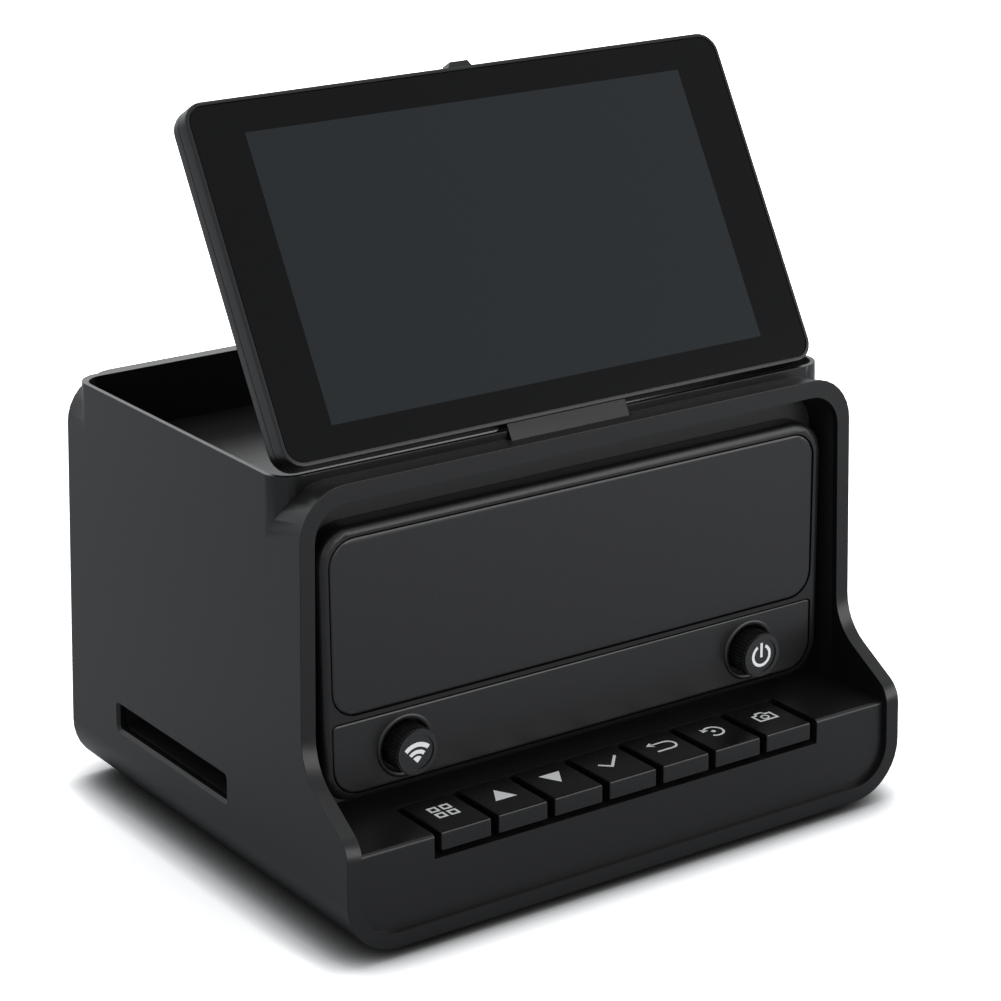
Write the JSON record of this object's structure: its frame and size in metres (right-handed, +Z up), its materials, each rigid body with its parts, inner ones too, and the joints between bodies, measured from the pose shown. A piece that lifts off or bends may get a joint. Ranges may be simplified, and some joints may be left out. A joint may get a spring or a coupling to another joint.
{
  "type": "film negative scanner",
  "caption": "Desk film and slide scanner: a display tilts up out of a well in the top, with push buttons on the front, a row of keys on the foot and a film slot through the sides.",
  "frame": {"origin": "centre of the bounding box's bottom face, on the surface that the feet stand on", "axes": "+Z up, the front with the keys faces -Y, +X to the right seen from the front"},
  "size_m": [0.203, 0.1657, 0.2318],
  "materials": {
    "housing_plastic": "fine texture, moulded",
    "panel_plastic": "satin, moulded",
    "key_plastic": "satin, moulded",
    "button_plastic": "satin, knurled",
    "inner_plastic": "matt, moulded",
    "foot_rubber": "matt",
    "plated_steel": "zinc plated",
    "pin_steel": "ground",
    "socket_steel": "tin plated",
    "board_laminate": "solder resist",
    "opal_plastic": "opal",
    "anodised_aluminium": "black anodised",
    "lens_glass": "coated",
    "cover_glass": "black backed, polished",
    "display_panel": "display switched off",
    "white_print": "pad printed"
  },
  "bodies": {
    "body": {"housing": "housing_plastic", "base_plate": "inner_plastic", "foot_front_left": "foot_rubber", "foot_front_right": "foot_rubber", "foot_rear_left": "foot_rubber", "foot_rear_right": "foot_rubber", "base_screw_front_left": "plated_steel", "base_screw_front_right": "plated_steel", "base_screw_rear_left": "plated_steel", "base_screw_rear_right": "plated_steel", "fascia": "housing_plastic", "front_panel": "panel_plastic", "control_strip": "panel_plastic", "key_board": "board_laminate", "button_board": "board_laminate", "film_guide_lower": "inner_plastic", "film_guide_upper": "inner_plastic", "lamp_diffuser": "opal_plastic", "lamp_board": "board_laminate", "camera_bracket": "inner_plastic", "lens_barrel": "anodised_aluminium", "front_lens": "lens_glass", "sensor_board": "board_laminate", "main_board": "board_laminate", "power_data_socket": "socket_steel", "video_socket": "socket_steel", "card_socket": "socket_steel", "hinge_pin": "pin_steel", "hinge_bracket": "plated_steel"},
    "display": {"lid_frame": "housing_plastic", "display_glass": "cover_glass", "lcd_panel": "display_panel", "lid_back_cover": "housing_plastic", "display_board": "board_laminate"},
    "wireless_push": {"wireless_button": "button_plastic"},
    "power_push": {"power_button": "button_plastic"},
    "menu_press": {"menu_key": "key_plastic"},
    "up_press": {"up_key": "key_plastic"},
    "down_press": {"down_key": "key_plastic"},
    "confirm_press": {"confirm_key": "key_plastic"},
    "back_press": {"back_key": "key_plastic"},
    "rotate_press": {"rotate_key": "key_plastic"},
    "camera_press": {"camera_key": "key_plastic"}
  },
  "joints": [
    {"name": "display_tilt", "type": "hinge", "parent": "body", "child": "display", "pos_m": [0, -0.04445, 0.12965], "axis": [1, 0, 0], "range_deg": [-60.46, 10]},
    {"name": "wireless_button_travel", "type": "slide", "parent": "body", "child": "wireless_push", "axis": [0, 1, 0], "range_m": [0, 0.001], "stiffness_N_per_m": 900, "springref_m": -0.0008},
    {"name": "power_button_travel", "type": "slide", "parent": "body", "child": "power_push", "axis": [0, 1, 0], "range_m": [0, 0.001], "stiffness_N_per_m": 900, "springref_m": -0.0008},
    {"name": "menu_key_travel", "type": "slide", "parent": "body", "child": "menu_press", "axis": [0, 0, -1], "range_m": [0, 0.0012], "stiffness_N_per_m": 600, "springref_m": -0.0008},
    {"name": "up_key_travel", "type": "slide", "parent": "body", "child": "up_press", "axis": [0, 0, -1], "range_m": [0, 0.0012], "stiffness_N_per_m": 600, "springref_m": -0.0008},
    {"name": "down_key_travel", "type": "slide", "parent": "body", "child": "down_press", "axis": [0, 0, -1], "range_m": [0, 0.0012], "stiffness_N_per_m": 600, "springref_m": -0.0008},
    {"name": "confirm_key_travel", "type": "slide", "parent": "body", "child": "confirm_press", "axis": [0, 0, -1], "range_m": [0, 0.0012], "stiffness_N_per_m": 600, "springref_m": -0.0008},
    {"name": "back_key_travel", "type": "slide", "parent": "body", "child": "back_press", "axis": [0, 0, -1], "range_m": [0, 0.0012], "stiffness_N_per_m": 600, "springref_m": -0.0008},
    {"name": "rotate_key_travel", "type": "slide", "parent": "body", "child": "rotate_press", "axis": [0, 0, -1], "range_m": [0, 0.0012], "stiffness_N_per_m": 600, "springref_m": -0.0008},
    {"name": "camera_key_travel", "type": "slide", "parent": "body", "child": "camera_press", "axis": [0, 0, -1], "range_m": [0, 0.0012], "stiffness_N_per_m": 600, "springref_m": -0.0008}
  ]
}
